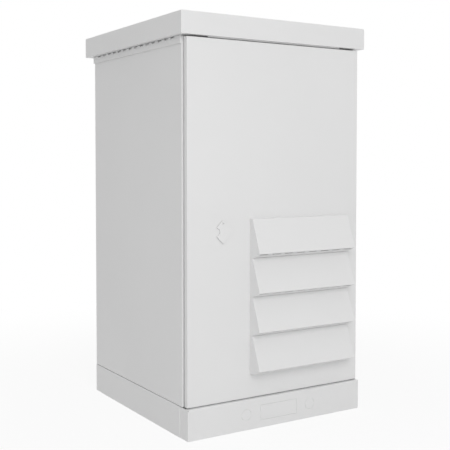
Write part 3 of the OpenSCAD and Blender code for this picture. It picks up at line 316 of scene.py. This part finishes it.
def seal_profile(depth):
    """Half-round bead as (across, height) pairs, with a groove along its crown."""
    half = SEAL_W / 2
    pairs = []
    for k in range(SEAL_STEPS + 1):
        turn = math.pi * k / SEAL_STEPS
        across = -math.copysign(abs(math.cos(turn)) ** (2 / SEAL_ROUND), math.cos(turn)) * half
        height = math.sin(turn) ** (2 / SEAL_ROUND) * depth
        groove = SEAL_GROOVE * math.exp(-((across / SEAL_GROOVE_W) ** 2))
        pairs.append((across, max(height - groove, 0.0)))
    return pairs


def make_seal(material):
    """Foamed bead around the back of the door."""
    low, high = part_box("door_gasket")
    inset = SEAL_W / 2 + SEAL_CORNER
    corners = [
        (high.x - inset, high.z - inset, 0),
        (low.x + inset, high.z - inset, 90),
        (low.x + inset, low.z + inset, 180),
        (high.x - inset, low.z + inset, 270),
    ]
    path = []
    for x, z, start in corners:
        for k in range(SEAL_ARC + 1):
            turn = math.radians(start + 90 * k / SEAL_ARC)
            path.append((x, z, math.cos(turn), math.sin(turn)))
    profile = seal_profile(high.y - low.y)
    points = []
    for x, z, out_x, out_z in path:
        for across, height in profile:
            reach = SEAL_CORNER + across
            points.append((x + out_x * reach, low.y + height, z + out_z * reach))
    row = len(profile)
    faces = []
    for i in range(len(path)):
        here, there = i * row, (i + 1) % len(path) * row
        for k in range(row):
            k2 = (k + 1) % row
            faces.append((here + k, here + k2, there + k2, there + k))
    seal = new_piece("door_seal", points, faces, "door", "rubber", material, "door_gasket")


def rise(distance):
    """Smooth step from 0 at the edge of a window to 1 inside it."""
    t = min(max(distance / MAT_SLOPE, 0.0), 1.0)
    return t * t * (3 - 2 * t)


def window_rise(value, low, high, count):
    """How far a coordinate is inside one of the grid's windows."""
    step = (high - low - 2 * GRID_BORDER + GRID_BAR) / count
    inside = value - low - GRID_BORDER
    index = math.floor(inside / step)
    if index < 0 or index >= count:
        return 0.0
    place = inside - index * step
    return rise(min(place, step - GRID_BAR - place))


def make_filter_mat(material):
    """Fibre mat that swells into the windows of the grid behind it."""
    low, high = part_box("filter_mat")
    frame_low, frame_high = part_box("filter_frame")
    nx = round((high.x - low.x) / MAT_CELL)
    nz = round((high.z - low.z) / MAT_CELL)
    points = []
    for side in (0, 1):
        for k in range(nz + 1):
            for i in range(nx + 1):
                x = low.x + (high.x - low.x) * i / nx
                z = low.z + (high.z - low.z) * k / nz
                lump = MAT_LUMP * lumps.noise(Vector((x, side, z)) * MAT_LUMP_SCALE)
                swell = window_rise(x, frame_low.x, frame_high.x, GRID_NX)
                swell *= window_rise(z, frame_low.z, frame_high.z, GRID_NZ)
                if side:
                    y = high.y + swell * (MAT_SWELL + lump) - MAT_LUMP * (1 - swell)
                else:
                    y = low.y + MAT_LUMP + abs(lump)
                points.append((x, y, z))
    row = nx + 1
    back = row * (nz + 1)
    faces = []
    for k in range(nz):
        for i in range(nx):
            a = k * row + i
            faces.append((a, a + 1, a + row + 1, a + row))
            faces.append((back + a, back + a + row, back + a + row + 1, back + a + 1))
    rim = list(range(nx)) + [k * row + nx for k in range(nz)]
    rim += [nz * row + i for i in range(nx, 0, -1)] + [k * row for k in range(nz, 0, -1)]
    for a, b in zip(rim, rim[1:] + rim[:1]):
        faces.append((a, back + a, back + b, b))
    fleece = new_piece("filter_fleece", points, faces, "door", "filter", material, "filter_mat")


def dress_all():
    """Makes the finishes, adds the soft pieces and dresses every CAD node."""
    made = {
        "paint": paint_material(),
        "zinc": zinc_material(),
        "rubber": rubber_material(),
        "plastic": plastic_material(),
        "copper": copper_material(),
        "filter": mat_material(),
    }
    make_seal(made["rubber"])
    make_filter_mat(made["filter"])
    for part in frame["record"]["subparts"]:
        dress(NODES[part["node"]], made[part["material_slot"]])


def floor_material():
    """Pale floor that keeps the shadow near the object and fades to white."""
    mat, tree, shader, place = base_material("floor")
    shader.inputs["Base Color"].default_value = (FLOOR_TONE, FLOOR_TONE, FLOOR_TONE, 1)
    shader.inputs["Roughness"].default_value = FLOOR_ROUGH
    shader.inputs["Specular IOR Level"].default_value = 0.0
    glow = add(tree, "ShaderNodeEmission", {"Color": (1, 1, 1, 1), "Strength": 1.0})
    far = add(tree, "ShaderNodeVectorMath", operation="LENGTH")
    link(tree, place, "Object", far, 0)
    fade = span(tree, far, "Value", FLOOR_GLOW, 1.0)
    fade.inputs["From Min"].default_value = FLOOR_NEAR
    fade.inputs["From Max"].default_value = FLOOR_FAR
    fade.interpolation_type = "SMOOTHSTEP"
    seen = seen_by(tree, *SEEN_RAYS)
    share = add(tree, "ShaderNodeMath", operation="MULTIPLY")
    link(tree, seen, "Value", share, 0)
    link(tree, fade, "Result", share, 1)
    mix = add(tree, "ShaderNodeMixShader")
    link(tree, share, "Value", mix, 0)
    link(tree, shader, "BSDF", mix, 1)
    link(tree, glow, "Emission", mix, 2)
    link(tree, mix, "Shader", tree.nodes["Material Output"], "Surface")
    return mat


def make_floor():
    """Square floor under the object."""
    h = FLOOR_SIZE / 2
    mesh = bpy.data.meshes.new("floor")
    mesh.from_pydata([(-h, -h, 0), (h, -h, 0), (h, h, 0), (-h, h, 0)], [], [(0, 1, 2, 3)])
    floor = bpy.data.objects.new("floor", mesh)
    floor.data.materials.append(floor_material())
    bpy.context.scene.collection.objects.link(floor)
    floor.location.z = CAD_BOX[0].z


def make_world():
    """White where it is seen or mirrored, soft light that grows towards the top elsewhere."""
    world = bpy.data.worlds.new("studio")
    bpy.context.scene.world = world
    world.use_nodes = True
    tree = world.node_tree
    back = tree.nodes["Background"]
    back.inputs["Color"].default_value = (1, 1, 1, 1)
    shown = seen_by(tree, *SEEN_RAYS)
    place = add(tree, "ShaderNodeTexCoord")
    axes = add(tree, "ShaderNodeSeparateXYZ")
    link(tree, place, "Generated", axes, "Vector")
    sky = span(tree, axes, "Z", WORLD_LOW, WORLD_TOP)
    level = span(tree, shown, "Value", 0.0, 1.0)
    link(tree, sky, "Result", level, "To Min")
    link(tree, level, "Result", back, "Strength")


def make_light(name, place, aim, size, power):
    """Round area lamp turned towards a point."""
    data = bpy.data.lights.new(name, "AREA")
    data.shape = "DISK"
    data.size = size
    data.energy = power
    lamp = bpy.data.objects.new(name, data)
    bpy.context.scene.collection.objects.link(lamp)
    lamp.location = place
    lamp.rotation_euler = (Vector(aim) - Vector(place)).to_track_quat("-Z", "Y").to_euler()


def make_camera():
    """Camera of the photograph: its focal length, shift, place and turn."""
    data = bpy.data.cameras.new("camera")
    data.sensor_width = SENSOR
    data.lens = FOCAL_PX / IMAGE_PX * SENSOR
    data.shift_y = (AXIS_PX_Y - IMAGE_PX / 2) / IMAGE_PX
    camera = bpy.data.objects.new("camera", data)
    bpy.context.scene.collection.objects.link(camera)
    camera.location = CAMERA_PLACE
    camera.rotation_euler = (math.radians(90 - CAMERA_PITCH), 0, math.radians(-CAMERA_YAW))
    bpy.context.scene.camera = camera


make_camera()
dress_all()
make_floor()
make_world()
make_light("key", KEY_PLACE, KEY_AIM, KEY_SIZE, KEY_POWER)
bpy.context.scene.view_settings.view_transform = "Standard"
